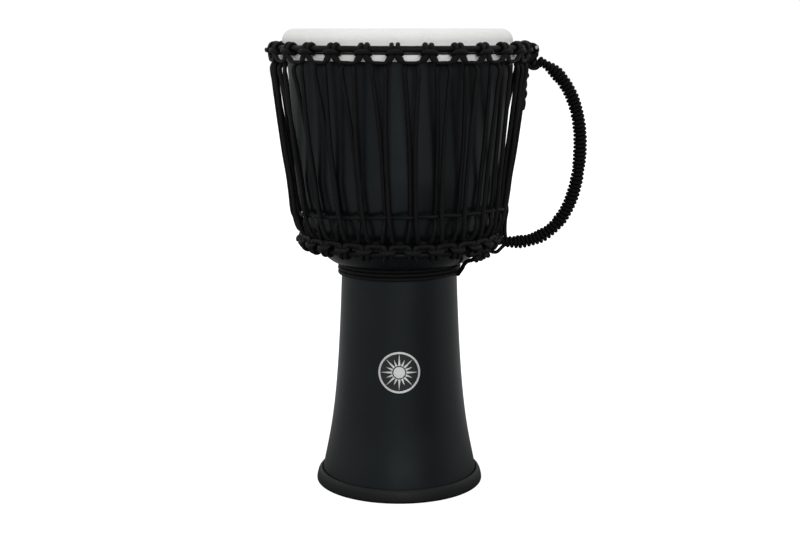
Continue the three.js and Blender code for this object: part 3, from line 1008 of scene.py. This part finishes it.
def cut_disc(row_end, row_before, radius, sides=16):
    """The pale flat end of a cut rope, just proud of its dark braid."""
    direction = row_end - row_before
    direction /= np.linalg.norm(direction)
    side = np.cross(direction, (0.0, 0.0, 1.0))
    side /= np.linalg.norm(side)
    other = np.cross(direction, side)
    angle = 2 * np.pi * np.arange(sides) / sides
    ring = np.cos(angle)[:, None] * side + np.sin(angle)[:, None] * other
    points = np.vstack([row_end + direction * 0.1 + ring * radius,
                        row_end + direction * 0.7 + ring * radius * 0.75,
                        row_end - direction * 1.2 + ring * radius])
    front, back = sides, 2 * sides
    faces = [(j, (j + 1) % sides, front + (j + 1) % sides, front + j) for j in range(sides)]
    faces += [(back + j, back + (j + 1) % sides, (j + 1) % sides, j) for j in range(sides)]
    faces += [tuple(range(front, back)), tuple(range(back + sides - 1, back - 1, -1))]
    return points, faces, no_uvs(faces), 1


def make_top_tie():
    parts = [open_part(by_hand(points, 4.2, 3.9), TIE_STEP, 14)
             for points in (TIE_LOOPS, TIE_DROP, TIE_SIDE, TIE_COLLAR)]
    parts += [knot_part(shape, 4.0, TIE_STEP, 14) for shape in (UPPER_KNOT, LOWER_KNOT)]
    rows = smooth(by_hand(TIE_END, 5.4, 5.2), TIE_STEP)
    parts.append((*rope_mesh(rows, 14, False), 0))
    parts.append(cut_disc(rows[-1, :3], rows[-4, :3], 2.0))
    piece = joined("handle_top_tie_knot", parts, [ROPE, CUT_END])
    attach(piece, "head_assembly")
    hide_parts("handle_top_tie")


def make_bottom_tie():
    parts = [open_part(by_hand(points, size, size), TIE_STEP, 12)
             for points, size in ((BOTTOM_TIE, 4.0), (STAY, 4.5))]
    piece = joined("handle_bottom_tie_eye", parts, [ROPE])
    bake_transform(piece)
    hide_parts("handle_bottom_tie")


TAIL = {"azimuth": math.radians(91.9), "top": 466.0, "bottom": 416.0, "pitch": 11.0, "steps": 40}
TAIL_RADIUS, TAIL_LEAN = 138.0, 2.4  # from the drum's axis at the top, and how much nearer at the bottom
TAIL_KNOB = {"z": 452.5, "reach": 2.4, "height": 2.6}


def tail_strand(phase):
    """One of the tail's two strands, which swells in and out and has a knob."""
    knots = []
    outward = around(TAIL["azimuth"], 1, 0)
    sideways = around(TAIL["azimuth"] + math.pi / 2, 1, 0)
    for i in range(TAIL["steps"] + 1):
        share = i / TAIL["steps"]
        z = TAIL["top"] + (TAIL["bottom"] - TAIL["top"]) * share
        turn = (TAIL["top"] - z) / TAIL["pitch"] * math.pi + phase
        swell = 1.5 + 0.5 * math.sin(share * 11 + 1)
        knob = TAIL_KNOB["reach"] * math.exp(-((z - TAIL_KNOB["z"]) / TAIL_KNOB["height"]) ** 2)
        radius = TAIL_RADIUS - TAIL_LEAN * share + (swell + knob) * math.cos(turn)
        azimuth = TAIL["azimuth"] + swell * math.sin(turn) / radius
        facing = outward * math.cos(turn) + sideways * math.sin(turn)
        knots.append(knot(around(azimuth, radius, z), facing, 3.0, 2.8))
    return knots


def make_tail():
    """Two strands twisted into a chain, which hangs just outside the lacing."""
    parts = [open_part(tail_strand(phase), 0.9, 12) for phase in (0, math.pi)]
    piece = joined("rope_tail_chain", parts, [ROPE])
    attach(piece, "head_assembly")
    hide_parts("rope_tail")


# ---- badge
# A round plate that follows the stem, with a raised rim and a plain sun of straight rays.

BADGE_RIM = 2.1
SUN_R = 6.2
RAYS = 16
RAY_START, LONG_RAY, SHORT_RAY = 7.4, 19.2, 14.6
RAY_HALF = 1.25  # half a ray's width at its start
RAY_TAPER = 0.92  # how much of it is gone at the tip
PLATE_LOW, PLATE_TOP, RAISED_LOW = 0.15, 1.0, 1.02  # heights off the stem


def on_stem(x, z, height):
    """A point that lies a height off the stem, x to the side of the badge's middle and z above it."""
    radius = stem_radius(BADGE_Z + z)
    return around(x / radius, radius + height, BADGE_Z + z)


def plate(outline_points, rings, bottom, top, which, hole=None):
    """A thin raised plate on the stem: rings of an outline from its middle, or from a hole, outwards."""
    outline_points = np.asarray(outline_points, float)
    middle = outline_points.mean(0)
    inner = np.asarray(hole, float) if hole is not None else np.repeat(middle[None], len(outline_points), 0)
    vertices, faces, count = [], [], len(outline_points)
    shares = np.linspace(0 if hole is not None else 0.02, 1, rings)
    for height in (top, bottom):
        for share in shares:
            for point in inner * (1 - share) + outline_points * share:
                vertices.append(on_stem(point[0], point[1], height))
    layer = rings * count
    for ring in range(rings - 1):
        for j in range(count):
            k = (j + 1) % count
            a, b, c, d = ring * count + j, (ring + 1) * count + j, (ring + 1) * count + k, ring * count + k
            faces.append((a, b, c, d))
            faces.append((layer + d, layer + c, layer + b, layer + a))
    last = (rings - 1) * count
    for j in range(count):
        k = (j + 1) % count
        faces.append((last + j, layer + last + j, layer + last + k, last + k))
        if hole is not None:
            faces.append((k, layer + k, layer + j, j))
    if hole is None:
        faces.append(tuple(range(count)))
        faces.append(tuple(range(layer + count - 1, layer - 1, -1)))
    return np.array(vertices), faces, no_uvs(faces), which


def circle(radius, count=96):
    a = 2 * np.pi * np.arange(count) / count
    return np.column_stack([radius * np.cos(a), radius * np.sin(a)])


def ray(turn, inner, tip):
    """A straight-sided ray that narrows to its tip: down one side and back up the other."""
    along = np.array([math.cos(turn), math.sin(turn)])
    side = np.array([-along[1], along[0]])
    points = []
    for shares, sign in ((np.linspace(0, 1, 6), -1), (np.linspace(1, 0, 6), 1)):
        for share in shares:
            half = RAY_HALF * (1 - RAY_TAPER * share)
            points.append(along * (inner + (tip - inner) * share) + sign * side * half)
    return points


def make_badge():
    parts = [plate(circle(BADGE_R), 10, PLATE_LOW, PLATE_TOP, 1)]
    parts.append(plate(circle(BADGE_R), 3, RAISED_LOW, 1.45, 0, hole=circle(BADGE_R - BADGE_RIM)))
    parts.append(plate(circle(SUN_R, 48), 6, RAISED_LOW, 1.5, 0))
    for i in range(RAYS):
        turn = 2 * math.pi * i / RAYS + math.pi / 2
        tip = SHORT_RAY if i % 2 else LONG_RAY
        parts.append(plate(ray(turn, RAY_START, tip), 4, RAISED_LOW, 1.4, 0))
    piece = joined("badge_sun_plate", parts, [SILVER, ENAMEL], sharp=30)
    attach(piece, "root")
    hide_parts("badge")


# ---- studio


FLOOR_RADIUS = 9.0
FLOOR_DROP = 0.0004  # keeps the floor off the foot's flat underside


def make_floor():
    mesh = bpy.data.meshes.new("studio_floor")
    shape = bmesh.new()
    bmesh.ops.create_circle(shape, cap_ends=True, segments=96, radius=FLOOR_RADIUS)
    shape.to_mesh(mesh)
    shape.free()
    mesh.materials.append(floor_material())
    floor = bpy.data.objects.new("studio_floor", mesh)
    floor.location.z = -FLOOR_DROP
    bpy.context.scene.collection.objects.link(floor)


def area_light(name, place, target, size, power):
    """A rectangular light, with its places and sizes in metres."""
    light = bpy.data.lights.new(name, "AREA")
    light.shape = "RECTANGLE"
    light.size, light.size_y = size
    light.energy = power
    lamp = bpy.data.objects.new(name, light)
    bpy.context.scene.collection.objects.link(lamp)
    lamp.location = place
    direction = np.array(target, float) - np.array(place, float)
    lamp.rotation_euler = Vector(direction).to_track_quat("-Z", "Y").to_euler()


def make_world():
    """White to the camera. It lights the drum most from behind, the left and above."""
    world = bpy.data.worlds.new("studio")
    world.use_nodes = True
    bpy.context.scene.world = world
    tree = world.node_tree
    background = tree.nodes["Background"]
    part = node(tree, "SeparateXYZ", {"Vector": node(tree, "TexCoord").outputs["Generated"]})
    back = spread(tree, part.outputs["Y"], -0.5, 0.9, 0.3, 0.85)
    left = spread(tree, part.outputs["X"], 0.35, -0.9, 0.0, 0.2)
    high = spread(tree, part.outputs["Z"], 0.15, 0.9, 0.0, 0.25)
    glow = maths(tree, "ADD", maths(tree, "ADD", back, left), high)
    seen = node(tree, "LightPath").outputs["Is Camera Ray"]
    strength = maths(tree, "MAXIMUM", glow, maths(tree, "MULTIPLY", seen, 1.02))
    background.inputs["Color"].default_value = (1, 1, 1, 1)
    tree.links.new(strength, background.inputs["Strength"])


def make_lights():
    centre = (0, 0, 0.3)
    area_light("softbox_left", (-1.9, -0.7, 1.3), centre, (1.2, 1.6), 6)
    area_light("softbox_right", (1.9, 0.2, 1.2), centre, (0.9, 1.6), 6)
    area_light("softbox_front", (0.3, -2.6, 1.25), (0, 0, 0.4), (2.0, 0.9), 32)
    area_light("softbox_top", (0.2, -0.8, 2.4), centre, (1.6, 1.2), 3)
    bpy.context.scene.view_settings.view_transform = "Standard"


# ---- the drum

make_shell()
make_foot()
make_head()
make_hoop()
make_ring("crown_ring_sleeve", "crown_ring", "head_assembly", CROWN_RADIUS, CROWN_Z)
make_ring("bottom_ring_sleeve", "bottom_ring", "root", BOTTOM_RADIUS, BOTTOM_Z)
make_cradle("top_cradle_hitches", "top_cradle_rope", "head_assembly", TOP_CRADLE, top_azimuth)
make_cradle("bottom_cradle_hitches", "bottom_cradle_rope", "root", BOTTOM_CRADLE, bottom_azimuth)
make_lacing()
make_weave()
make_winding()
make_handle()
make_top_tie()
make_bottom_tie()
make_tail()
make_badge()
make_floor()
make_world()
make_lights()
